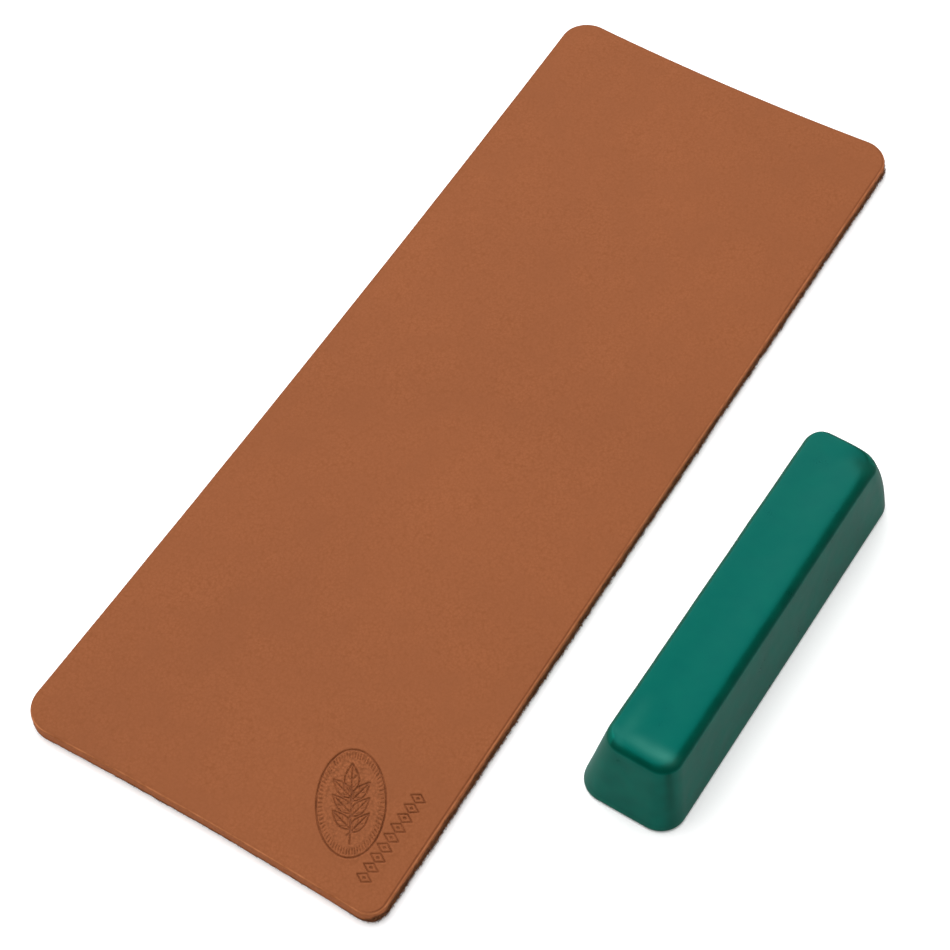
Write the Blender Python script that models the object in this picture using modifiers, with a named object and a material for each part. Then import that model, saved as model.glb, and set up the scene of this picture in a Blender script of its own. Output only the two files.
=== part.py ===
"""A leather strop with its bar of polishing compound, for Blender 4.5.

Metres, +Z up. The origin is the centre of the strop's underside, on the bench. +Y runs along the
strop, away from its stamped end, and +X runs across it, towards the bar.
"""

import math

import bmesh
import bpy
from mathutils import Vector

# The strop: one piece of thick vegetable-tanned hide, smooth grain side up.
STROP_LENGTH = 0.200
STROP_WIDTH = 0.0762
STROP_THICKNESS = 0.0030
STROP_CORNER_RADIUS = 0.0058
STAMPED_CORNER_RADIUS = 0.0036
STROP_EDGE_ROUNDING = 0.0005

# How far the middle of each side lies inside a straight line between its corners.
STROP_FAR_HOLLOW = 0.0009
STROP_NEAR_HOLLOW = 0.0006
STROP_LEFT_HOLLOW = 0.0008
STROP_RIGHT_HOLLOW = 0.0001

# The bar: a block of compound cast in a tapering mould and turned out wide side down.
BAR_LENGTH = 0.0850
BAR_WIDTH = 0.0203
BAR_HEIGHT = 0.0162
BAR_END_DRAFT = math.radians(12.5)
BAR_SIDE_DRAFT = math.radians(10.5)
BAR_CORNER_RADIUS = 0.0046
BAR_TOP_ROUNDING = 0.0036
BAR_FOOT_ROUNDING = 0.0010

# Where the bar lies: beside the strop, not quite in line with it.
BAR_GAP = 0.0160
BAR_ALONG = -0.0178
BAR_TURN = math.radians(-1.3)

# A quarter circle drawn as one Bezier segment has handles this long for a radius of 1.
ARC_HANDLE = 4 / 3 * (math.sqrt(2) - 1)


def clear_scene():
    for obj in list(bpy.data.objects):
        bpy.data.objects.remove(obj, do_unlink=True)


def make_material(name, colour, roughness, metallic=0.0):
    material = bpy.data.materials.new(name)
    material.use_nodes = True
    shader = material.node_tree.nodes["Principled BSDF"]
    shader.inputs["Base Color"].default_value = (*colour, 1.0)
    shader.inputs["Roughness"].default_value = roughness
    shader.inputs["Metallic"].default_value = metallic
    material.diffuse_color = (*colour, 1.0)
    return material


def add_object(name, mesh, material, collection):
    mesh.name = name
    mesh.materials.clear()
    mesh.materials.append(material)
    obj = bpy.data.objects.new(name, mesh)
    collection.objects.link(obj)
    return obj


def add_bevel(obj, width, segments, smallest_angle):
    bevel = obj.modifiers.new("rounded_edges", "BEVEL")
    bevel.width = width
    bevel.segments = segments
    bevel.limit_method = "ANGLE"
    bevel.angle_limit = smallest_angle
    bevel.harden_normals = False


def strop_outline():
    """The cut outline, anticlockwise from the stamped corner, as Bezier points.

    Each point is (place, handle before it, handle after it). Every corner is a quarter circle, and
    every side is one gentle curve whose middle is drawn in by that side's hollow.
    """
    half_width = STROP_WIDTH / 2
    half_length = STROP_LENGTH / 2
    # For each corner: its place if it were sharp, its radius, and the hollow of the side after it.
    corners = (
        (Vector((half_width, -half_length, 0)), STAMPED_CORNER_RADIUS, STROP_RIGHT_HOLLOW),
        (Vector((half_width, half_length, 0)), STROP_CORNER_RADIUS, STROP_FAR_HOLLOW),
        (Vector((-half_width, half_length, 0)), STROP_CORNER_RADIUS, STROP_LEFT_HOLLOW),
        (Vector((-half_width, -half_length, 0)), STROP_CORNER_RADIUS, STROP_NEAR_HOLLOW),
    )
    ways = [(corners[(i + 1) % 4][0] - corners[i][0]).normalized() for i in range(4)]
    starts = [corners[i][0] - ways[i - 1] * corners[i][1] for i in range(4)]
    finishes = [corners[i][0] + ways[i] * corners[i][1] for i in range(4)]

    def pull(side):
        """How far a side's two inner handles move inwards, which is to the left of its way."""
        inwards = Vector((-ways[side].y, ways[side].x, 0))
        # A cubic curve's middle moves by 3/4 of what its two inner handles move.
        return inwards * corners[side][2] * 4 / 3

    points = []
    for i in range(4):
        handle = corners[i][1] * ARC_HANDLE
        run_before = starts[i] - finishes[i - 1]
        run_after = starts[(i + 1) % 4] - finishes[i]
        before = starts[i] - run_before / 3 + pull(i - 1)
        after = starts[i] + ways[i - 1] * handle
        points.append((starts[i], before, after))
        before = finishes[i] - ways[i] * handle
        after = finishes[i] + run_after / 3 + pull(i)
        points.append((finishes[i], before, after))
    return points


def make_strop(collection):
    outline = strop_outline()
    curve = bpy.data.curves.new("strop_outline", "CURVE")
    curve.dimensions = "2D"
    curve.fill_mode = "BOTH"
    curve.extrude = STROP_THICKNESS / 2
    curve.resolution_u = 10
    spline = curve.splines.new("BEZIER")
    spline.bezier_points.add(len(outline) - 1)
    for point, (place, before, after) in zip(spline.bezier_points, outline):
        point.handle_left_type = "FREE"
        point.handle_right_type = "FREE"
        point.co = place
        point.handle_left = before
        point.handle_right = after
    spline.use_cyclic_u = True

    drawn = bpy.data.objects.new("strop_outline", curve)
    drawn.location.z = STROP_THICKNESS / 2
    collection.objects.link(drawn)
    bpy.context.view_layer.update()
    mesh = bpy.data.meshes.new_from_object(drawn.evaluated_get(bpy.context.evaluated_depsgraph_get()))
    sheet = bmesh.new()
    sheet.from_mesh(mesh)
    bmesh.ops.remove_doubles(sheet, verts=sheet.verts, dist=1e-6)
    sheet.to_mesh(mesh)
    sheet.free()

    hide = make_material("strop_leather", (0.38, 0.13, 0.055), 0.62)
    strop = add_object("leather_strop", mesh, hide, collection)
    strop.matrix_world = drawn.matrix_world.copy()
    bpy.data.objects.remove(drawn, do_unlink=True)
    add_bevel(strop, STROP_EDGE_ROUNDING, 3, math.radians(50))
    strop.data.shade_smooth()
    strop.data.set_sharp_from_angle(angle=math.radians(35))


def make_bar(collection):
    block = bmesh.new()
    bmesh.ops.create_cube(block, size=1.0)
    bmesh.ops.translate(block, verts=block.verts, vec=(0, 0, 0.5))
    bmesh.ops.scale(block, verts=block.verts, vec=(BAR_WIDTH, BAR_LENGTH, BAR_HEIGHT))
    top_width = BAR_WIDTH - 2 * BAR_HEIGHT * math.tan(BAR_SIDE_DRAFT)
    top_length = BAR_LENGTH - 2 * BAR_HEIGHT * math.tan(BAR_END_DRAFT)
    top = [vert for vert in block.verts if vert.co.z > BAR_HEIGHT / 2]
    bmesh.ops.scale(block, verts=top, vec=(top_width / BAR_WIDTH, top_length / BAR_LENGTH, 1))

    def is_upright(edge):
        return abs(edge.verts[0].co.z - edge.verts[1].co.z) > BAR_HEIGHT / 2

    def is_at(edge, height):
        return all(abs(vert.co.z - height) < 1e-5 for vert in edge.verts)

    uprights = [edge for edge in block.edges if is_upright(edge)]
    bmesh.ops.bevel(block, geom=uprights, offset=BAR_CORNER_RADIUS, segments=6, profile=0.5, affect="EDGES")
    rim = [edge for edge in block.edges if is_at(edge, BAR_HEIGHT)]
    bmesh.ops.bevel(block, geom=rim, offset=BAR_TOP_ROUNDING, segments=6, profile=0.5, affect="EDGES")
    foot = [edge for edge in block.edges if is_at(edge, 0)]
    bmesh.ops.bevel(block, geom=foot, offset=BAR_FOOT_ROUNDING, segments=3, profile=0.5, affect="EDGES")

    mesh = bpy.data.meshes.new("compound_bar")
    block.to_mesh(mesh)
    block.free()
    compound = make_material("green_compound", (0.006, 0.13, 0.10), 0.35)
    bar = add_object("compound_bar", mesh, compound, collection)
    bar.location = (STROP_WIDTH / 2 + BAR_GAP + BAR_WIDTH / 2, BAR_ALONG, 0)
    bar.rotation_euler = (0, 0, BAR_TURN)
    bar.data.shade_smooth()
    bar.data.set_sharp_from_angle(angle=math.radians(35))


clear_scene()
strop_set = bpy.data.collections.new("leather_strop_set")
bpy.context.scene.collection.children.link(strop_set)
make_strop(strop_set)
make_bar(strop_set)
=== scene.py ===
"""A leather strop with its bar of polishing compound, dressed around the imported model.

Metres, +Z up. +Y runs along the strop, away from its stamped end, and +X across it, to the bar.
"""

import math

import bpy
import numpy as np
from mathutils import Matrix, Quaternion, Vector, noise
from mathutils.geometry import delaunay_2d_cdt


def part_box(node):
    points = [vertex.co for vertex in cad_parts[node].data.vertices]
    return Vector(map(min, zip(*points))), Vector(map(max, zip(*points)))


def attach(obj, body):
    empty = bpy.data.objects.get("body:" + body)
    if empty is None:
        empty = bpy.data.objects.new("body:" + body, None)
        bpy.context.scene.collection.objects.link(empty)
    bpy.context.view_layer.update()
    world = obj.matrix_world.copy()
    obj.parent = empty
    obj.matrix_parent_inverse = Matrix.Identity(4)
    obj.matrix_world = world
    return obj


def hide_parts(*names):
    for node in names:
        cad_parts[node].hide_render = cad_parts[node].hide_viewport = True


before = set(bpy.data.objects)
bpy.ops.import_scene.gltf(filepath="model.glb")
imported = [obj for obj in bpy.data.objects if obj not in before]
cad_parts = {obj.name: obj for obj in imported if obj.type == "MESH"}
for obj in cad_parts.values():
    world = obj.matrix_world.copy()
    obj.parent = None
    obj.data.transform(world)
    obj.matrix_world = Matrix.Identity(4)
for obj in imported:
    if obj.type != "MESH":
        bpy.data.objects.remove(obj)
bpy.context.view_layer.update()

# ---------------------------------------------------------------------------------------------
# The bench, the light and the camera.
# The set lies on a plain white sweep. One wide soft light hangs overhead, a little to the left,
# so the shadows are faint and fall to the right, and the room around it is dim.

BENCH_SIDE = 6.0
BENCH_WHITE = 0.93
BENCH_GLOW = 0.12
MIRRORED_SHARE = 0.27  # how much of the bench's brightness shows in reflections
KEY_WIDTH = 1.94
KEY_PLACE = Vector((-0.38, 0.28, 1.05))
KEY_RADIANCE = 2.9
LIGHT_SIDE = Vector((-0.86, 0.5, 0.1))
LIGHT_SIDE_RADIANCE = 0.7
DARK_SIDE_RADIANCE = 0.38
BACKDROP_RADIANCE = 1.0

VIEW_AIM = Vector((0.0041, -0.0121, 0.0))
VIEW_DISTANCE = 0.4573
VIEW_AZIMUTH = math.radians(32.48)
VIEW_ELEVATION = math.radians(56.36)
VIEW_ROLL = math.radians(-1.32)
VIEW_LENS_MM = 90.42


def put(tree, kind, values=(), **settings):
    """Adds a node. values gives its inputs, each a value or another node's output socket."""
    node = tree.nodes.new(kind)
    for name, value in settings.items():
        setattr(node, name, value)
    for socket, value in dict(values).items():
        if isinstance(value, bpy.types.NodeSocket):
            tree.links.new(value, node.inputs[socket])
        else:
            node.inputs[socket].default_value = value
    return node


def maths(tree, operation, *values):
    """A Math node's result."""
    return put(tree, "ShaderNodeMath", enumerate(values), operation=operation).outputs[0]


def mixed(tree, share, first, second):
    """Two colours, mixed by share."""
    node = put(tree, "ShaderNodeMix", {0: share, 6: first, 7: second}, data_type="RGBA")
    return node.outputs[2]


def attribute(tree, name):
    """A mesh attribute's value."""
    return put(tree, "ShaderNodeAttribute", attribute_name=name).outputs["Fac"]


def start_material(name):
    """A new material with its tree and its Principled shader."""
    material = bpy.data.materials.new(name)
    material.use_nodes = True
    return material, material.node_tree, material.node_tree.nodes["Principled BSDF"]


def add_piece(name, points, faces, material):
    """A smooth-shaded object at the origin, with its place in its mesh."""
    mesh = bpy.data.meshes.new(name)
    mesh.from_pydata([tuple(p) for p in points], [], faces)
    mesh.validate()
    mesh.materials.append(material)
    mesh.shade_smooth()
    piece = bpy.data.objects.new(name, mesh)
    bpy.context.scene.collection.objects.link(piece)
    return piece


def give_values(piece, **values):
    """Stores one number for each of the piece's points, under each name."""
    for name, value in values.items():
        layer = piece.data.attributes.new(name, "FLOAT", "POINT")
        layer.data.foreach_set("value", value.astype(np.float32))


sweep_paint, tree, shader = start_material("sweep_paint")
glossy = put(tree, "ShaderNodeLightPath").outputs["Is Glossy Ray"]
for socket, full in (("Base Color", BENCH_WHITE), ("Emission Color", BENCH_GLOW)):
    dimmed = full * MIRRORED_SHARE
    tone = mixed(tree, glossy, (full, full, full, 1), (dimmed, dimmed, dimmed, 1))
    tree.links.new(tone, shader.inputs[socket])
shader.inputs["Emission Strength"].default_value = 1.0
shader.inputs["Roughness"].default_value = 0.9
shader.inputs["Specular IOR Level"].default_value = 0.0
half = BENCH_SIDE / 2
bench = add_piece("bench", [(-half, -half, 0), (half, -half, 0), (half, half, 0), (-half, half, 0)],
                  [(0, 1, 2, 3)], sweep_paint)

key_light = bpy.data.lights.new("key_light", "AREA")
key_light.shape = "DISK"
key_light.size = KEY_WIDTH
key_light.energy = KEY_RADIANCE * math.pi * math.pi * (KEY_WIDTH / 2) ** 2
key = bpy.data.objects.new("key_light", key_light)
key.location = KEY_PLACE
key.rotation_mode = "QUATERNION"
key.rotation_quaternion = (-KEY_PLACE).to_track_quat("-Z", "Y")
bpy.context.scene.collection.objects.link(key)

room = bpy.data.worlds.new("room")
room.use_nodes = True
bpy.context.scene.world = room
tree = room.node_tree
seen = tree.nodes["Background"]
seen.inputs["Color"].default_value = (1, 1, 1, 1)
seen.inputs["Strength"].default_value = BACKDROP_RADIANCE
way = put(tree, "ShaderNodeTexCoord").outputs["Generated"]
facing = put(tree, "ShaderNodeVectorMath", {0: way, 1: LIGHT_SIDE}, operation="DOT_PRODUCT")
strength = put(tree, "ShaderNodeMapRange", {
    0: facing.outputs["Value"], 1: 0.2, 2: 0.75, 3: DARK_SIDE_RADIANCE, 4: LIGHT_SIDE_RADIANCE,
}, interpolation_type="SMOOTHSTEP").outputs[0]
lit = put(tree, "ShaderNodeBackground", {"Color": (1, 1, 1, 1), "Strength": strength})
which = put(tree, "ShaderNodeMixShader", {
    0: put(tree, "ShaderNodeLightPath").outputs["Is Camera Ray"],
    1: lit.outputs[0],
    2: seen.outputs[0],
})
tree.links.new(which.outputs[0], tree.nodes["World Output"].inputs["Surface"])

view = bpy.data.objects.new("camera", bpy.data.cameras.new("camera"))
view.data.lens = VIEW_LENS_MM
view.data.clip_start = 0.01
ahead = Vector((
    -math.sin(VIEW_AZIMUTH) * math.cos(VIEW_ELEVATION),
    math.cos(VIEW_AZIMUTH) * math.cos(VIEW_ELEVATION),
    -math.sin(VIEW_ELEVATION),
))
view.location = VIEW_AIM - ahead * VIEW_DISTANCE
view.rotation_mode = "QUATERNION"
view.rotation_quaternion = ahead.to_track_quat("-Z", "Y") @ Quaternion((0, 0, 1), VIEW_ROLL)
bpy.context.scene.collection.objects.link(view)
bpy.context.scene.camera = view
bpy.context.scene.view_settings.view_transform = "Standard"

# ---------------------------------------------------------------------------------------------
# The strop.
# One rectangle of thick vegetable-tanned hide, cut with a steel die that rounds the top edge over
# and leaves the lower half of the cut torn and fibrous. The smooth grain side faces up, and a
# small stamp is pressed into it near one corner.

STROP_LOW, STROP_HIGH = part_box("leather_strop")
HALF_WIDTH = (STROP_HIGH.x - STROP_LOW.x) / 2
HALF_LENGTH = (STROP_HIGH.y - STROP_LOW.y) / 2
THICKNESS = STROP_HIGH.z - STROP_LOW.z
CORNER_RADIUS = 0.0058
STAMPED_CORNER_RADIUS = 0.0036
RIGHT_HOLLOW, FAR_HOLLOW, LEFT_HOLLOW, NEAR_HOLLOW = 0.0001, 0.0009, 0.0008, 0.0006
OUTLINE_STEP = 0.0005

LIP_RADIUS = 0.00034
CREASE_INSET = 0.00043
CREASE_WIDTH = 0.00011
CREASE_DEPTH = 0.00012
FOOT_RADIUS = 0.00025
TORN_DEPTH = 0.00022
TORN_BLUR = 0.0004
EDGE_BAND = 0.0017
COCKLE = 0.00006
BACK_STEP = 0.0016
BACK_HEIGHT = 0.00004
SUEDE_SHARE = 0.2

HIDE_BROWN = (0.222, 0.0684, 0.0228, 1)
PRESSED_SHADE_BROWN = (0.085, 0.023, 0.008, 1)
PALE_LIP_HIGHLIGHT_TAN = (0.50, 0.185, 0.075, 1)
LIT_WALL_BROWN = (0.335, 0.1, 0.031, 1)
TORN_BROWN = (0.13, 0.045, 0.016, 1)

STAMP_CENTRE = np.array((0.0224, -0.0835))
STAMP_HALF_SIZE = np.array((0.0061, 0.0104))
STAMP_TURN = math.radians(31)
STAMP_REACH = 0.014
MILLING_STEP = math.pi / 36
MILLING_SPAN = (0.94, 0.84)
STEM_ENDS = (-0.0078, 0.0030)
LEAF_PAIR_HEIGHTS = (-0.0056, -0.0026, 0.0004)
LOZENGE_HALF_SIZE = (0.00145, 0.00092)
LOZENGE_COUNT = 9
CHAIN_X = 0.0320
CHAIN_ENDS = (-0.0942, -0.0768)
GROOVE_HALF_WIDTH = 0.00020
GROOVE_DEPTH = 0.00030
PUFF = 0.00007
FINEST_STEP = 0.000095
STEP_REACHES = (0.00036, 0.0008, 0.0016, 0.0036)


def strop_outline():
    """Points along the cut line, anticlockwise from the stamped corner, and their outward ways."""
    corners = (
        (HALF_WIDTH, -HALF_LENGTH, STAMPED_CORNER_RADIUS, RIGHT_HOLLOW),
        (HALF_WIDTH, HALF_LENGTH, CORNER_RADIUS, FAR_HOLLOW),
        (-HALF_WIDTH, HALF_LENGTH, CORNER_RADIUS, LEFT_HOLLOW),
        (-HALF_WIDTH, -HALF_LENGTH, CORNER_RADIUS, NEAR_HOLLOW),
    )
    arcs = []
    for i, (x, y, radius, _) in enumerate(corners):
        count = round(radius * math.pi / 2 / OUTLINE_STEP)
        turn = (i - 1 + np.linspace(0, 1, count + 1)) * math.pi / 2
        centre = np.array((x - math.copysign(radius, x), y - math.copysign(radius, y)))
        arcs.append(centre + radius * np.column_stack((np.cos(turn), np.sin(turn))))
    points = []
    for i, arc in enumerate(arcs):
        run = arcs[(i + 1) % 4][0] - arc[-1]
        length = np.linalg.norm(run)
        t = np.linspace(0, 1, round(length / OUTLINE_STEP), endpoint=False)[1:, None]
        inwards = np.array((-run[1], run[0])) / length
        points += [arc, arc[-1] + run * t + inwards * corners[i][3] * 4 * t * (1 - t)]
    points = np.concatenate(points)
    along = np.roll(points, -1, axis=0) - np.roll(points, 1, axis=0)
    along /= np.linalg.norm(along, axis=1)[:, None]
    return points, np.column_stack((along[:, 1], -along[:, 0]))


def depth_inside(points):
    """How far each point lies inside the cut line, negative outside it."""
    x, y = points[:, 0], points[:, 1]
    bow_x = 1 - (x / HALF_WIDTH) ** 2
    bow_y = 1 - (y / HALF_LENGTH) ** 2
    half_x = HALF_WIDTH - np.where(x > 0, RIGHT_HOLLOW, LEFT_HOLLOW) * bow_y
    half_y = HALF_LENGTH - np.where(y > 0, FAR_HOLLOW, NEAR_HOLLOW) * bow_x
    radius = np.where((x > 0) & (y < 0), STAMPED_CORNER_RADIUS, CORNER_RADIUS)
    over_x = np.abs(x) - half_x + radius
    over_y = np.abs(y) - half_y + radius
    round_part = np.hypot(np.maximum(over_x, 0), np.maximum(over_y, 0))
    return radius - round_part - np.minimum(np.maximum(over_x, over_y), 0)


def lumps(points, size, seed):
    """Smooth noise from about -1 to 1 at each point, with lumps about size across."""
    shift = Vector((seed * 7.31, seed * 1.73, seed * 3.57))
    return np.array([noise.noise(Vector(p) / size + shift) for p in points])


def fill_loop(loop, inner):
    """Triangles facing up over a closed loop and the points in it, as indices of loop then inner."""
    ring = [(i, (i + 1) % len(loop)) for i in range(len(loop))]
    flat = [Vector(p) for p in np.concatenate((loop, inner)) * 1000]
    _, _, faces, origins, _, _ = delaunay_2d_cdt(flat, ring, [], 1, 1e-6)
    return [tuple(origins[i][0] for i in face) for face in faces]


def sweep_rings(rings):
    """Quads between each closed ring of points and the next, as indices of the rings in order."""
    count = len(rings[0])
    faces = []
    for k in range(len(rings) - 1):
        here, below = k * count, (k + 1) * count
        for i in range(count):
            j = (i + 1) % count
            faces.append((here + i, below + i, below + j, here + j))
    return faces


def leaf_strokes(base, angle, length, width, veins):
    """A leaf's outline, midrib and side veins, as polylines."""
    way = np.array((math.cos(angle), math.sin(angle)))
    side = np.array((-way[1], way[0]))

    def at(t, s):
        return base + way * length * t + side * s

    def half(t):
        return width / 2 * np.sin(math.pi * t ** 0.8)

    t = np.linspace(0, 1, 25)
    edges = [np.array([at(u, sign * half(u)) for u in t]) for sign in (1, -1)]
    midrib = np.array([at(-0.16, 0), at(0.9, 0)])
    ribs = []
    for k in range(veins):
        foot = 0.16 + 0.56 * k / veins
        for sign in (1, -1):
            tip = foot + 0.15
            bend = at(foot + 0.06, sign * 0.4 * half(tip))
            ribs.append(np.array([at(foot, 0), bend, at(tip, sign * 0.74 * half(tip))]))
    return edges + [midrib], ribs


def stamp_axes():
    """The stamp's own two ways, as rows: its oval leans over to the left."""
    return np.array(((math.cos(STAMP_TURN), math.sin(STAMP_TURN)),
                     (-math.sin(STAMP_TURN), math.cos(STAMP_TURN))))


def stamp_strokes():
    """The stamp: a twig in an oval with a milled rim, and a chain of lozenges beside it.

    Each stroke is (points, share of the full groove width, share of the full depth).
    """
    around = np.linspace(0, 2 * math.pi, 121)
    oval = np.column_stack((np.cos(around), np.sin(around)))
    twig = [(oval * STAMP_HALF_SIZE, 1.0, 1.0)]
    for turn in np.arange(0, 2 * math.pi, MILLING_STEP):
        way = np.array((math.cos(turn), math.sin(turn)))
        ends = [way * STAMP_HALF_SIZE * share for share in MILLING_SPAN]
        twig.append((np.array(ends), 0.55, 0.6))
    twig.append((np.array([(0.0, height) for height in STEM_ENDS]), 0.9, 0.9))
    leaves = [(0.0020, 90, 0.0056, 0.0026)]
    for height in LEAF_PAIR_HEIGHTS:
        leaves += [(height, 48, 0.0048, 0.0021), (height + 0.0006, 132, 0.0048, 0.0021)]
    for height, angle, length, width in leaves:
        bold, fine = leaf_strokes(np.array((0.0, height)), math.radians(angle), length, width, 2)
        twig += [(line, 0.85, 0.85) for line in bold]
        twig += [(line, 0.55, 0.5) for line in fine]
    strokes = [(STAMP_CENTRE + line @ stamp_axes(), share, deep) for line, share, deep in twig]
    lozenge = np.array(((0, -1), (1, 0), (0, 1), (-1, 0), (0, -1))) * LOZENGE_HALF_SIZE
    for y in np.linspace(*CHAIN_ENDS, LOZENGE_COUNT):
        centre = np.array((CHAIN_X, y))
        strokes.append((centre + lozenge, 0.8, 0.9))
        strokes.append((centre + lozenge * 0.15, 0.9, 0.8))
    return strokes


def stroke_distances(points, strokes):
    """For each point, the groove's depth there as a share, and the distance to the nearest stroke."""
    pressed = np.zeros(len(points))
    nearest = np.full(len(points), np.inf)
    for line, share, deep in strokes:
        reach = GROOVE_HALF_WIDTH * share
        for a, b in zip(line[:-1], line[1:]):
            run = b - a
            t = np.clip((points - a) @ run / max(run @ run, 1e-12), 0, 1)
            away = np.linalg.norm(points - a - t[:, None] * run, axis=1)
            nearest = np.minimum(nearest, away)
            pressed = np.maximum(pressed, deep * np.clip(1 - (away / reach) ** 2, 0, 1) ** 1.5)
    return pressed, nearest


def press(points, strokes):
    """For each point, the shares of the groove's depth and of the soft swelling beside it."""
    pressed, swollen = np.zeros(len(points)), np.zeros(len(points))
    close = (np.abs(points - STAMP_CENTRE) < STAMP_REACH).all(axis=1)
    pressed[close], nearest = stroke_distances(points[close], strokes)
    swollen[close] = np.exp(-((nearest - 0.00045) / 0.00025) ** 2)
    return pressed, swollen


def face_points(strokes):
    """Points over the smooth face, close together along the stamp's grooves and far apart elsewhere."""
    coarsest = len(STEP_REACHES)
    step = FINEST_STEP * 2 ** coarsest
    reach_x, reach_y = math.ceil(HALF_WIDTH / step), math.ceil(HALF_LENGTH / step)
    across, along = np.meshgrid(np.arange(-reach_x, reach_x + 1), np.arange(-reach_y, reach_y + 1))
    coarse = np.column_stack((across.ravel(), along.ravel())) * 2 ** coarsest
    low = np.floor((STAMP_CENTRE - STAMP_REACH) / step) * 2 ** coarsest
    high = np.ceil((STAMP_CENTRE + STAMP_REACH) / step) * 2 ** coarsest
    across, along = np.meshgrid(np.arange(low[0], high[0] + 1), np.arange(low[1], high[1] + 1))
    fine = np.column_stack((across.ravel(), along.ravel())).astype(int)
    in_patch = ((coarse >= low) & (coarse <= high)).all(axis=1)
    level = np.zeros(len(fine))
    for k in range(1, coarsest + 1):
        level[(fine % 2 ** k == 0).all(axis=1)] = k
    _, nearest = stroke_distances(fine * FINEST_STEP, strokes)
    wanted = np.select([nearest < reach for reach in STEP_REACHES], range(coarsest), coarsest)
    fine = fine[level >= wanted]
    return np.concatenate((coarse[~in_patch], fine)) * FINEST_STEP


outline, outwards = strop_outline()
strokes = stamp_strokes()

# The section of the edge, from the face over the lip and down the cut to the underside. Each row
# is (inset from the cut line, height, share of the crease, share of the lip band, share cut).
brow = [(inset, THICKNESS, math.exp(-((inset - CREASE_INSET) / CREASE_WIDTH) ** 2), 0.0, 0.0)
        for inset in np.linspace(EDGE_BAND, LIP_RADIUS, 16, endpoint=False)]
lip = [(LIP_RADIUS * (1 - math.sin(turn)), THICKNESS - LIP_RADIUS * (1 - math.cos(turn)), 0.0,
        math.exp(-((turn - 0.7) / 0.35) ** 2), math.sin(turn) ** 4)
       for turn in np.linspace(0, math.pi / 2, 8)]
wall = [(0.0, height, 0.0, 0.0, 1.0)
        for height in np.linspace(THICKNESS - LIP_RADIUS, FOOT_RADIUS, 14)[1:]]
foot = [(FOOT_RADIUS * (1 - math.cos(turn)), FOOT_RADIUS * (1 - math.sin(turn)), 0.0, 0.0, 1.0)
        for turn in np.linspace(0, math.pi / 2, 5)[1:]]
under = [(EDGE_BAND, 0.0, 0.0, 0.0, 1.0)]
section = brow + lip + wall + foot + under

# The die tore more of the hide along the right side, and pressed a crease there that comes and
# goes; the crease is darkened, partly as pressed leather and partly as painted shade. The lip is
# pale along the near side and the right one, partly from use and partly as a painted highlight, and
# it is darker along the other two sides.
cut_line = np.column_stack((outline, np.zeros(len(outline))))
right_share = np.clip(outwards[:, 0] * 1.1, 0, 1)
near_share = np.clip(-outwards[:, 1] * 1.1, 0, 1)
dark_lip_share = np.clip(1 - right_share - near_share, 0, 1)
tear_height = 0.0007 + 0.0018 * right_share
broad, fine = lumps(cut_line, 0.006, 6), lumps(cut_line, 0.0013, 9)
tear_height *= 1 + (0.15 + 0.45 * near_share) * broad + 0.25 * fine
tear_height = np.maximum(tear_height, 0.0002)
broad, fine = lumps(cut_line, 0.0045, 8), lumps(cut_line, 0.0011, 10)
# The pale lip along the near and right sides is partly pale from use and partly a painted highlight.
near_lip_pale_and_highlight = near_share * np.clip(0.55 + 0.9 * broad + 0.5 * fine, 0, 1)
right_lip_pale_and_highlight = 0.85 * right_share * np.clip(0.8 + 0.8 * lumps(cut_line, 0.0016, 12), 0, 1)
lip_pale_and_highlight = np.maximum(near_lip_pale_and_highlight, right_lip_pale_and_highlight)
nearness = np.clip(-cut_line[:, 1] / HALF_LENGTH, 0, 1)
crease_flow = np.clip(0.62 + 0.4 * nearness + 1.1 * lumps(cut_line, 0.019, 13), 0.05, 1)
crease_share = 0.1 + 0.9 * right_share * crease_flow
rings, ring_shares = [], []
for inset, height, creased, lip_band, sawn in section:
    ring = np.column_stack((outline - outwards * inset, np.full(len(outline), height)))
    torn = np.clip((tear_height - height) / TORN_BLUR, 0, 1) * sawn
    ragged = 0.55 * lumps(ring * (1, 1, 0.6), 0.0016, 2) + 0.45 * lumps(ring, 0.0006, 3)
    spread = TORN_DEPTH * torn * (0.5 + 0.8 * right_share) * (ragged + 0.35)
    sway = 0.00004 * lumps(ring, 0.011, 1) * sawn
    if (inset, height) == (EDGE_BAND, 0.0):
        spread = sway = np.zeros(len(ring))
        torn = np.full(len(ring), SUEDE_SHARE)
    ring[:, :2] += outwards * (spread + sway)[:, None]
    ring[:, 2] -= CREASE_DEPTH * creased * crease_share
    if 0 < height < 0.0003:
        ring[:, 2] += 0.00008 * torn * np.abs(lumps(ring, 0.0009, 4))
    rings.append(ring)
    # Painted shade in the crease, and a darker lip along the left and far sides.
    darkened = np.maximum(creased * crease_share, 0.8 * lip_band * dark_lip_share)
    ring_shares.append(np.column_stack((darkened, lip_band * lip_pale_and_highlight, np.full(len(ring), sawn), torn)))

# The face and the underside are filled in flat, and the face then takes the stamp's grooves, the
# soft swelling beside them, and a slight cockle.
face = face_points(strokes)
face = face[depth_inside(face) > EDGE_BAND + 0.0003]
across, along = np.meshgrid(np.arange(-HALF_WIDTH, HALF_WIDTH, BACK_STEP),
                            np.arange(-HALF_LENGTH, HALF_LENGTH, BACK_STEP))
back = np.column_stack((across.ravel(), along.ravel()))
back = back[depth_inside(back) > EDGE_BAND + 0.0006]

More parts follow.
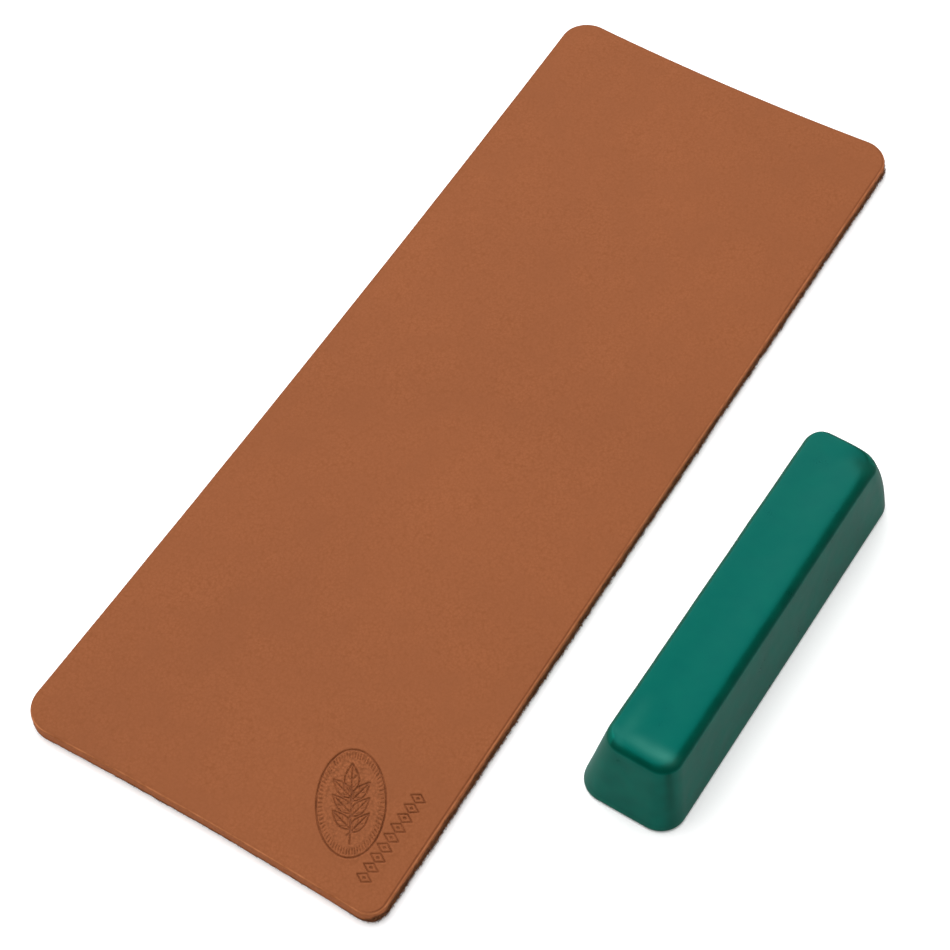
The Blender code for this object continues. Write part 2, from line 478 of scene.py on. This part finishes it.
swept = len(outline) * len(rings)
points = np.concatenate((*rings, np.column_stack((face, np.full(len(face), THICKNESS))),
                         np.column_stack((back, np.full(len(back), BACK_HEIGHT)))))
on_face = np.zeros(len(points), bool)
on_face[:len(outline) * len(brow)] = True
on_face[swept:swept + len(face)] = True
pressed, swollen = np.zeros(len(points)), np.zeros(len(points))
pressed[on_face], swollen[on_face] = press(points[on_face, :2], strokes)
pressed *= 0.8 + 0.35 * lumps(points, 0.0024, 7)
in_oval = np.linalg.norm((points[:, :2] - STAMP_CENTRE) @ stamp_axes().T / STAMP_HALF_SIZE, axis=1)
worked = np.clip((1.05 - in_oval) / 0.1, 0, 1) * on_face
points[:, 2] += PUFF * swollen - GROOVE_DEPTH * pressed
points[on_face, 2] += COCKLE * lumps(points[on_face] * (1, 0.6, 0), 0.030, 5)

top_index = np.concatenate((np.arange(len(outline)), swept + np.arange(len(face))))
back_index = np.concatenate((swept - len(outline) + np.arange(len(outline)),
                             swept + len(face) + np.arange(len(back))))
faces = sweep_rings(rings)
faces += [tuple(top_index[list(f)]) for f in fill_loop(rings[0][:, :2], face)]
faces += [tuple(back_index[list(f)][::-1]) for f in fill_loop(rings[-1][:, :2], back)]
back_shares = np.tile((0.0, 0.0, 1.0, SUEDE_SHARE), (len(back), 1))
shares = np.concatenate((*ring_shares, np.zeros((len(face), 4)), back_shares))


def hide_grain_group():
    """The grain of smooth hide: the height of its pebbles and pores, and its fine and broad mottling."""
    group = bpy.data.node_groups.new("hide_grain", "ShaderNodeTree")
    group.interface.new_socket("Vector", in_out="INPUT", socket_type="NodeSocketVector")
    for name in ("Height", "Speck", "Blotch"):
        group.interface.new_socket(name, in_out="OUTPUT", socket_type="NodeSocketFloat")
    place = group.nodes.new("NodeGroupInput").outputs[0]
    out = group.nodes.new("NodeGroupOutput")
    warp = put(group, "ShaderNodeTexNoise", {"Vector": place, "Scale": 900, "Detail": 2})
    shifted = put(group, "ShaderNodeVectorMath", {
        0: warp.outputs["Color"], 1: (0.0006, 0.0006, 0.0006), 2: place,
    }, operation="MULTIPLY_ADD").outputs[0]
    pebble = put(group, "ShaderNodeTexVoronoi", {"Vector": shifted, "Scale": 1900}, feature="F1")
    dome = maths(group, "SUBTRACT", 1.0, maths(group, "POWER", pebble.outputs["Distance"], 2.0))
    pore = put(group, "ShaderNodeTexVoronoi", {"Vector": place, "Scale": 620}, feature="F1")
    pit = maths(group, "SUBTRACT", 1.0, maths(group, "MULTIPLY", pore.outputs["Distance"], 7.0))
    pit = maths(group, "MAXIMUM", pit, 0.0)
    fine = put(group, "ShaderNodeTexNoise", {"Vector": place, "Scale": 5200, "Detail": 3, "Roughness": 0.6})
    height = maths(group, "MULTIPLY_ADD", fine.outputs[0], 0.5, dome)
    height = maths(group, "SUBTRACT", height, maths(group, "MULTIPLY", pit, 0.7))
    speck = maths(group, "ADD", fine.outputs[0], pebble.outputs["Distance"])
    speck = maths(group, "SUBTRACT", speck, 0.95)
    patch = put(group, "ShaderNodeTexNoise", {"Vector": place, "Scale": 130, "Detail": 4, "Roughness": 0.6})
    broad = put(group, "ShaderNodeTexNoise", {"Vector": place, "Scale": 22, "Detail": 2})
    blotch = maths(group, "ADD", patch.outputs[0], broad.outputs[0])
    strength = put(group, "ShaderNodeMapRange", {
        0: patch.outputs[0], 1: 0.35, 2: 0.65, 3: 0.35, 4: 1.0,
    }).outputs[0]
    group.links.new(maths(group, "MULTIPLY", height, strength), out.inputs["Height"])
    group.links.new(maths(group, "MULTIPLY", speck, strength), out.inputs["Speck"])
    group.links.new(maths(group, "SUBTRACT", blotch, 1.0), out.inputs["Blotch"])
    return group


def shaded(tree, colour, share):
    """A colour made lighter or darker by share, which is about 0 for no change."""
    scale = maths(tree, "ADD", share, 1.0)
    scaled = put(tree, "ShaderNodeVectorMath", {0: colour[:3], "Scale": scale}, operation="SCALE")
    return scaled.outputs[0]


hide_leather, tree, shader = start_material("hide_leather")
place = put(tree, "ShaderNodeTexCoord").outputs["Object"]
grain = put(tree, "ShaderNodeGroup", node_tree=hide_grain_group())
tree.links.new(place, grain.inputs[0])
cut, flesh, lip_pale_highlight, crease, dent, worked_share = (
    attribute(tree, name) for name in ("cut", "flesh", "lip", "crease", "pressed", "worked"))
# The colour goes on in layers: dyed grain, pressed grooves, the cut wall, the crease, the pale
# lip, and last the torn flesh. The grooves and the crease are darkened partly with painted shade,
# the cut wall is lightened partly with painted light, and the pale lip is partly a painted highlight.
# The grain stands out more where the stamp has worked it.
livelier = maths(tree, "MULTIPLY_ADD", worked_share, 2.4, 1.0)
fibre = put(tree, "ShaderNodeTexNoise", {"Vector": place, "Scale": 1500, "Detail": 6, "Roughness": 0.7})
fibre_share = maths(tree, "SUBTRACT", fibre.outputs[0], 0.5)
speck = maths(tree, "MULTIPLY", grain.outputs["Speck"], maths(tree, "MULTIPLY", livelier, -0.2))
colour = shaded(tree, HIDE_BROWN, maths(tree, "MULTIPLY_ADD", grain.outputs["Blotch"], 0.16, speck))
# The stamp's grooves darken, partly as pressed leather's own colour and partly as painted shade.
colour = mixed(tree, maths(tree, "MULTIPLY", dent, 0.6), colour, PRESSED_SHADE_BROWN)
# The cut wall's brown is partly its own colour and partly painted light, lighter than the face.
wall_colour = shaded(tree, LIT_WALL_BROWN, maths(tree, "MULTIPLY", fibre_share, 0.9))
colour = mixed(tree, cut, colour, wall_colour)
# The crease darkens, partly as pressed leather and partly as painted shade; the same mask darkens the lip
# along the left and far sides.
colour = mixed(tree, maths(tree, "MULTIPLY", crease, 0.7), colour, PRESSED_SHADE_BROWN)
# The pale lip is partly pale from use and partly a painted highlight.
rubbed_pale = maths(tree, "MULTIPLY_ADD", fibre.outputs[0], 0.8, 0.45)
colour = mixed(tree, maths(tree, "MULTIPLY", lip_pale_highlight, rubbed_pale), colour, PALE_LIP_HIGHLIGHT_TAN)
torn_colour = shaded(tree, TORN_BROWN, maths(tree, "MULTIPLY", fibre_share, 2.2))
colour = mixed(tree, flesh, colour, torn_colour)
tree.links.new(colour, shader.inputs["Base Color"])
rough = maths(tree, "MULTIPLY_ADD", grain.outputs["Speck"], 0.25, 0.66)
rough = maths(tree, "MULTIPLY_ADD", dent, -0.12, maths(tree, "MULTIPLY_ADD", flesh, 0.25, rough))
tree.links.new(rough, shader.inputs["Roughness"])
shader.inputs["Specular IOR Level"].default_value = 0.10
grain_height = maths(tree, "MULTIPLY", grain.outputs["Height"], livelier)
raw_share = maths(tree, "MULTIPLY_ADD", flesh, 5.0, maths(tree, "MULTIPLY", cut, 1.2))
bump = put(tree, "ShaderNodeBump", {
    "Strength": 1.0,
    "Distance": 0.00003,
    "Height": maths(tree, "MULTIPLY_ADD", fibre_share, raw_share, grain_height),
})
tree.links.new(bump.outputs[0], shader.inputs["Normal"])

strop = add_piece("strop_hide", points, faces, hide_leather)
creased, rubbed_lip, sawn_share, torn_share = shares.T
give_values(strop, pressed=pressed, crease=creased, lip=rubbed_lip, cut=sawn_share,
            flesh=torn_share, worked=worked)
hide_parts("leather_strop")
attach(strop, "strop")

# ---------------------------------------------------------------------------------------------
# The fibres of the torn edge.
# Loose collagen fibres stand out of the lower half of the cut all round, most of them along the
# right side. They are short, dark and bent, and they break up the strop's outline.

FIBRE_DENSITY = 1.5e7
FIBRE_LENGTH = 0.00042
FIBRE_RADIUS = 0.000045
FIBRE_SPREAD = 0.9
FIBRE_DROOP = 0.15
FIBRE_SEED = 11
FIBRE_DARK = (0.075, 0.027, 0.010, 1)
FIBRE_LIGHT = (0.34, 0.14, 0.055, 1)
LOWEST_FIBRE = 0.00003


def fibre_tree(name):
    """Scatters bent, tapered fibres over a surface, thickest where its flesh attribute is highest."""
    tree = bpy.data.node_groups.new(name, "GeometryNodeTree")
    side = tree.interface
    side.new_socket("Geometry", in_out="INPUT", socket_type="NodeSocketGeometry")
    for label in ("Density", "Length", "Radius", "Spread", "Droop"):
        side.new_socket(label, in_out="INPUT", socket_type="NodeSocketFloat")
    side.new_socket("Seed", in_out="INPUT", socket_type="NodeSocketInt")
    side.new_socket("Material", in_out="INPUT", socket_type="NodeSocketMaterial")
    side.new_socket("Geometry", in_out="OUTPUT", socket_type="NodeSocketGeometry")
    given = tree.nodes.new("NodeGroupInput").outputs

    def vector_maths(operation, *values):
        return put(tree, "ShaderNodeVectorMath", enumerate(values), operation=operation).outputs[0]

    def joined(x, y, z):
        return put(tree, "ShaderNodeCombineXYZ", {0: x, 1: y, 2: z}).outputs[0]

    def chance(low, high, seed):
        inputs = {2: low, 3: high, "Seed": seed}
        return put(tree, "FunctionNodeRandomValue", inputs, data_type="FLOAT").outputs[1]

    flesh = put(tree, "GeometryNodeInputNamedAttribute", {"Name": "flesh"}, data_type="FLOAT")
    flesh = flesh.outputs[0]
    scattered = put(tree, "GeometryNodeDistributePointsOnFaces", {
        "Mesh": given["Geometry"],
        "Density": maths(tree, "MULTIPLY", given["Density"], flesh),
        "Seed": given["Seed"],
    })
    length = given["Length"]
    spine = put(tree, "GeometryNodeCurveQuadraticBezier", {
        "Resolution": 3,
        "Start": (0, 0, 0),
        "Middle": joined(0.0, 0.0, maths(tree, "MULTIPLY", length, 0.6)),
        "End": joined(maths(tree, "MULTIPLY", length, 0.5), 0.0, maths(tree, "MULTIPLY", length, 0.85)),
    })
    along = put(tree, "GeometryNodeSplineParameter").outputs["Factor"]
    tapered = put(tree, "GeometryNodeSetCurveRadius", {
        "Curve": spine.outputs[0],
        "Radius": maths(tree, "MULTIPLY_ADD", along, -0.8, 1.0),
    })
    rim = put(tree, "GeometryNodeCurvePrimitiveCircle", {"Resolution": 3, "Radius": given["Radius"]})
    thread = put(tree, "GeometryNodeCurveToMesh", {
        "Curve": tapered.outputs[0], "Profile Curve": rim.outputs[0], "Fill Caps": True,
    })
    stray = put(tree, "FunctionNodeRandomValue", {
        0: (-1, -1, -1), 1: (1, 1, 0.7), "Seed": given["Seed"],
    }, data_type="FLOAT_VECTOR").outputs[0]
    spread = joined(given["Spread"], given["Spread"], given["Spread"])
    way = vector_maths("ADD", scattered.outputs["Normal"], vector_maths("MULTIPLY", stray, spread))
    way = vector_maths("SUBTRACT", way, joined(0.0, 0.0, given["Droop"]))
    turned = put(tree, "FunctionNodeEulerToRotation", {0: joined(0.0, 0.0, chance(0.0, 6.28, 3))})
    aimed = put(tree, "FunctionNodeAlignRotationToVector", {
        "Rotation": turned.outputs[0], "Vector": way,
    }, axis="Z")
    standing = put(tree, "GeometryNodeInstanceOnPoints", {
        "Points": scattered.outputs["Points"],
        "Instance": thread.outputs[0],
        "Rotation": aimed.outputs[0],
        "Scale": maths(tree, "MULTIPLY", chance(0.35, 1.15, 5), maths(tree, "SQRT", flesh)),
    })
    toned = put(tree, "GeometryNodeStoreNamedAttribute", {
        "Geometry": standing.outputs[0], "Name": "tone", "Value": chance(0.0, 1.0, 7),
    }, data_type="FLOAT", domain="INSTANCE")
    real = put(tree, "GeometryNodeRealizeInstances", {"Geometry": toned.outputs[0]})
    dressed = put(tree, "GeometryNodeSetMaterial", {
        "Geometry": real.outputs[0], "Material": given["Material"],
    })
    tree.links.new(dressed.outputs[0], tree.nodes.new("NodeGroupOutput").inputs[0])
    return tree


def grown(guide, tree, values):
    """The plain mesh object that a Geometry Nodes tree makes from a guide, which goes."""
    modifier = guide.modifiers.new("grow", "NODES")
    modifier.node_group = tree
    for item in tree.interface.items_tree:
        if item.in_out == "INPUT" and item.name in values:
            modifier[item.identifier] = values[item.name]
    bpy.context.view_layer.update()
    graph = bpy.context.evaluated_depsgraph_get()
    mesh = bpy.data.meshes.new_from_object(guide.evaluated_get(graph))
    piece = bpy.data.objects.new(tree.name, mesh)
    bpy.context.scene.collection.objects.link(piece)
    guide.modifiers.remove(modifier)
    bpy.data.objects.remove(guide)
    return piece


loose_fibre, tree, shader = start_material("loose_fibre")
tone = attribute(tree, "tone")
colour = mixed(tree, maths(tree, "POWER", tone, 1.6), FIBRE_DARK, FIBRE_LIGHT)
tree.links.new(colour, shader.inputs["Base Color"])
tree.links.new(maths(tree, "MULTIPLY_ADD", tone, -0.2, 0.9), shader.inputs["Roughness"])
shader.inputs["Specular IOR Level"].default_value = 0.15

# They grow from the cut wall's lower rings, down to the foot.
torn_rings = slice(len(brow) + len(lip) + 4, -2)
torn_flesh = [ring[:, 3] * (0.3 + 0.7 * right_share) for ring in ring_shares[torn_rings]]
guide = add_piece("fibre_guide", np.concatenate(rings[torn_rings]), sweep_rings(rings[torn_rings]),
                  loose_fibre)
give_values(guide, flesh=np.concatenate(torn_flesh))
fibres = grown(guide, fibre_tree("edge_fibres"), {
    "Density": FIBRE_DENSITY, "Length": FIBRE_LENGTH, "Radius": FIBRE_RADIUS,
    "Spread": FIBRE_SPREAD, "Droop": FIBRE_DROOP, "Seed": FIBRE_SEED, "Material": loose_fibre,
})
for vertex in fibres.data.vertices:
    vertex.co.z = max(vertex.co.z, LOWEST_FIBRE)
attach(fibres, "strop")

# ---------------------------------------------------------------------------------------------
# The bar of polishing compound.
# Green chromium-oxide abrasive in hard wax, poured into a tapered open mould and knocked out when
# cold. Its mould faces are satin-smooth with round edges. Its rounded rim and the two upright edges
# on the right carry painted shade, and the top of the rim carries a painted highlight at the near
# end and up the left side.

RIM_SHADE_GREEN = (0.0002, 0.036, 0.021, 1)
DULL_GREEN = (0.0002, 0.092, 0.063, 1)
RIM_HIGHLIGHT_GREEN = (0.035, 0.13, 0.095, 1)

BAR_END_DRAFT = math.radians(12.5)
BAR_SIDE_DRAFT = math.radians(10.5)
BAR_CORNER_AT_FOOT = 0.0050
BAR_CORNER_AT_TOP = 0.0038
BAR_RIM_WIDTH = 0.0024
BAR_RIM_DROP = 0.0014
BAR_SHARP_RIM_SHARE = 0.32
BAR_CORNER_SLUMP = 0.0009
BAR_CORNER_BULGE = 0.0008
BAR_FOOT_RADIUS = 0.0009
BAR_CROWN = 0.00015
BAR_DENT = 0.00006
BAR_FINE_DENT = 0.00002
SHADED_RIM_DROP = 0.0013
SHADED_EDGE_TURN = math.radians(38)
SHADED_EDGE_TURN_SPREAD = math.radians(12)
BAR_STEP = 0.00045
BAR_CORNER_STEPS = 14
TOP_FILL_RADIUS = 0.0012


def bar_place():
    """The bar's middle, turn, half sizes and height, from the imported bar's own points."""
    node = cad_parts["compound_bar"]
    points = np.array([node.matrix_world @ vertex.co for vertex in node.data.vertices])
    low, high = points.min(axis=0), points.max(axis=0)
    middle = (low + high) / 2
    flat = points[:, :2] - middle[:2]
    _, _, axes = np.linalg.svd(flat, full_matrices=False)
    lengthways = axes[0] if axes[0][1] > 0 else -axes[0]
    crossways = np.array((lengthways[1], -lengthways[0]))
    half = np.array((np.abs(flat @ crossways).max(), np.abs(flat @ lengthways).max()))
    return middle[:2], np.array((crossways, lengthways)), half, high[2]


def rounded_loop(half, radius, steps):
    """Points round a rectangle with rounded corners.

    steps gives how many steps each corner, each long side and each short side takes.
    """
    arcs = []
    for i, (sx, sy) in enumerate(((1, -1), (1, 1), (-1, 1), (-1, -1))):
        turn = (i - 1 + np.linspace(0, 1, steps[0] + 1)) * math.pi / 2
        centre = np.array((sx * (half[0] - radius), sy * (half[1] - radius)))
        arcs.append(centre + radius * np.column_stack((np.cos(turn), np.sin(turn))))
    points = []
    for i, arc in enumerate(arcs):
        run = arcs[(i + 1) % 4][0] - arc[-1]
        t = np.linspace(0, 1, steps[1 + i % 2], endpoint=False)[1:, None]
        points += [arc, arc[-1] + run * t]
    return np.concatenate(points)


bar_middle, bar_axes, bar_half, bar_height = bar_place()
counts = (BAR_CORNER_STEPS, round(2 * bar_half[1] / BAR_STEP), round(2 * bar_half[0] / BAR_STEP))
lean = np.tan((BAR_SIDE_DRAFT, BAR_END_DRAFT))

# The section of the bar's side, from its foot up and over the rim, as (height, inset).
bar_section = [(BAR_FOOT_RADIUS * (1 - math.cos(turn)), BAR_FOOT_RADIUS * (1 - math.sin(turn)))
               for turn in np.linspace(0, math.pi / 2, 6)]
bar_section += [(height, 0.0)
                for height in np.linspace(BAR_FOOT_RADIUS, bar_height - BAR_RIM_DROP, 16)[1:]]
bar_section += [(bar_height - BAR_RIM_DROP * (1 - math.sin(turn)), BAR_RIM_WIDTH * (1 - math.cos(turn)))
                for turn in np.linspace(0, math.pi / 2, 15)[1:]]

# The rim is rounder along the near end and the right side than along the other two.
rim_mean = (1 + BAR_SHARP_RIM_SHARE) / 2
rim_shift = np.array((-1, 1)) * (1 - BAR_SHARP_RIM_SHARE) / 2
bar_rings = []
for height, inset in bar_section:
    share = height / bar_height
    radius = BAR_CORNER_AT_FOOT + (BAR_CORNER_AT_TOP - BAR_CORNER_AT_FOOT) * share
    loop_half = bar_half - lean * height - inset * rim_mean
    loop = rounded_loop(loop_half, max(radius - inset * 0.8, TOP_FILL_RADIUS), counts)
    bar_rings.append(np.column_stack((loop + rim_shift * inset, np.full(len(loop), height))))


def bar_depth(flat, loop_half):
    """How far points on the top lie from its rim, across whichever side is nearest."""
    return np.minimum(loop_half[0] - np.abs(flat[:, 0]), loop_half[1] - np.abs(flat[:, 1]))


top_half = bar_half - lean * bar_height - BAR_RIM_WIDTH * rim_mean
top_centre = rim_shift * BAR_RIM_WIDTH
base_half = bar_half - BAR_FOOT_RADIUS
fills = []
for half_size in (top_half, base_half):
    across, along = np.meshgrid(np.arange(-half_size[0], half_size[0], BAR_STEP * 1.3),
                                np.arange(-half_size[1], half_size[1], BAR_STEP * 1.3))
    flat = np.column_stack((across.ravel(), along.ravel()))
    radius = TOP_FILL_RADIUS if half_size is top_half else BAR_CORNER_AT_FOOT
    beyond = np.maximum(np.abs(flat) - half_size + radius, 0)
    in_corner = np.hypot(beyond[:, 0], beyond[:, 1]) < radius - 0.0003
    fills.append(flat[in_corner & (bar_depth(flat, half_size) > 0.0003)])
top_fill, base_fill = fills
bar_swept = len(bar_rings) * len(bar_rings[0])
top_fill = top_fill + top_centre
bar_points = np.concatenate((*bar_rings, np.column_stack((top_fill, np.full(len(top_fill), bar_height))),
                             np.column_stack((base_fill, np.zeros(len(base_fill))))))

loop_count = len(bar_rings[0])
top_index = np.concatenate((bar_swept - loop_count + np.arange(loop_count),
                            bar_swept + np.arange(len(top_fill))))
base_index = np.concatenate((np.arange(loop_count),
                             bar_swept + len(top_fill) + np.arange(len(base_fill))))
bar_faces = [f[::-1] for f in sweep_rings(bar_rings)]
bar_faces += [tuple(top_index[list(f)]) for f in fill_loop(bar_rings[-1][:, :2], top_fill)]
bar_faces += [tuple(base_index[list(f)][::-1]) for f in fill_loop(bar_rings[0][:, :2], base_fill)]

# The top sinks a little in the middle, where the wax shrank as it set, and the mould's own small
# dents show on every face. A pale highlight is painted on the top of the rim, along the near end and
# up the left side, strongest at the near end.
x, y, z = bar_points.T
high_share = np.clip((z - bar_height + BAR_RIM_DROP) / BAR_RIM_DROP, 0, 1)
sink = np.clip(bar_depth(bar_points[:, :2] - top_centre, top_half) / 0.005, 0, 1)
sink = BAR_CROWN * sink ** 2 * (3 - 2 * sink) * (z > bar_height - 0.0001)
across, along = (bar_points[:, :2] - top_centre + top_half).T
near_rim = np.exp(-((along - 0.0003) / 0.0014) ** 2) * np.clip(0.24 + 0.38 * across / top_half[0], 0, 1)
left_rim = np.exp(-((across - 0.0022) / 0.0014) ** 2) * np.clip(0.4 - along / 0.026, 0, 1)
bloom = np.clip(np.maximum(near_rim, left_rim) * high_share ** 4, 0, 1)
bloom *= 0.8 + 0.3 * lumps(bar_points, 0.0025, 21)

# Shade is painted on the rounded rim and on the two upright edges on the right, darker than the faces.
rubbed = np.clip((z - bar_height + SHADED_RIM_DROP) / 0.0004, 0, 1)
at_sharp_rim = (z < bar_height - 0.0001) & ((across < 0.001) | (along > 2 * top_half[1] - 0.001))
rubbed[at_sharp_rim] *= 0.35
turn = np.arctan2(y + np.sign(-y) * (bar_half[1] - 0.0065), x - bar_half[0] + 0.0065)
at_edge = (np.abs(y) > bar_half[1] - 0.0075) & (x > bar_half[0] - 0.0075) & (z > 0.0001)
edge_shade = at_edge * np.exp(-((np.abs(turn) - SHADED_EDGE_TURN) / SHADED_EDGE_TURN_SPREAD) ** 2)
rubbed = np.maximum(rubbed, edge_shade * (0.3 + 0.5 * z / bar_height))

dents = BAR_DENT * lumps(bar_points, 0.009, 22) + BAR_FINE_DENT * lumps(bar_points, 0.0025, 23)
dents *= np.clip(z / 0.002, 0, 1)
away = np.column_stack((x, y * bar_half[0] / bar_half[1], z - bar_height / 2))
away /= np.linalg.norm(away, axis=1)[:, None]
bar_points = bar_points + away * dents[:, None]
bar_points[:, 2] -= sink

# The far right corner slumped and bulged a little as the bar was knocked out.
corner = bar_half - lean * bar_height
slump = np.exp(-(((x - corner[0] + 0.001) ** 2 + (y - corner[1] + 0.001) ** 2) / 0.0034 ** 2))
bar_points[:, 2] -= BAR_CORNER_SLUMP * slump * np.clip(z / bar_height, 0, 1) ** 4
corner = bar_half - lean * z[:, None]
bulge = np.exp(-((x - corner[:, 0]) ** 2 + (y - corner[:, 1]) ** 2) / 0.0036 ** 2)
bulge *= np.sin(np.pi * np.clip(z / bar_height, 0, 1)) * BAR_CORNER_BULGE
bar_points[:, :2] += bulge[:, None] * np.array((0.8, 0.6))
bar_points[:, :2] = bar_middle + bar_points[:, :2] @ bar_axes

wax, tree, shader = start_material("compound_wax")
place = put(tree, "ShaderNodeTexCoord").outputs["Object"]
cloud = put(tree, "ShaderNodeTexNoise", {"Vector": place, "Scale": 260, "Detail": 1, "Roughness": 0.45})
grit = put(tree, "ShaderNodeTexNoise", {"Vector": place, "Scale": 4200, "Detail": 2})
# Painted shade: the rim and the right-hand upright edges take the darker green.
colour = mixed(tree, attribute(tree, "rubbed"), DULL_GREEN, RIM_SHADE_GREEN)
clouded = maths(tree, "MULTIPLY_ADD", cloud.outputs[0], 0.6, 0.7)
colour = put(tree, "ShaderNodeVectorMath", {0: colour, "Scale": clouded}, operation="SCALE").outputs[0]
# Painted highlight: the pale green on the top of the rim at the near end and the left side.
colour = mixed(tree, maths(tree, "MULTIPLY", attribute(tree, "bloom"), 0.8), colour, RIM_HIGHLIGHT_GREEN)
tree.links.new(colour, shader.inputs["Base Color"])
rough = maths(tree, "MULTIPLY_ADD", grit.outputs[0], 0.06, 0.21)
rough = maths(tree, "MULTIPLY_ADD", cloud.outputs[0], 0.16, rough)
tree.links.new(rough, shader.inputs["Roughness"])
shader.inputs["IOR"].default_value = 1.45
shader.inputs["Specular Tint"].default_value = (0.0, 0.90, 0.80, 1)
bump = put(tree, "ShaderNodeBump", {
    "Strength": 1.0,
    "Distance": 0.000012,
    "Height": maths(tree, "MULTIPLY", cloud.outputs[0], 3.0),
})
tree.links.new(bump.outputs[0], shader.inputs["Normal"])

bar = add_piece("compound_block", bar_points, bar_faces, wax)
give_values(bar, bloom=bloom, rubbed=rubbed)
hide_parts("compound_bar")
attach(bar, "compound_bar")
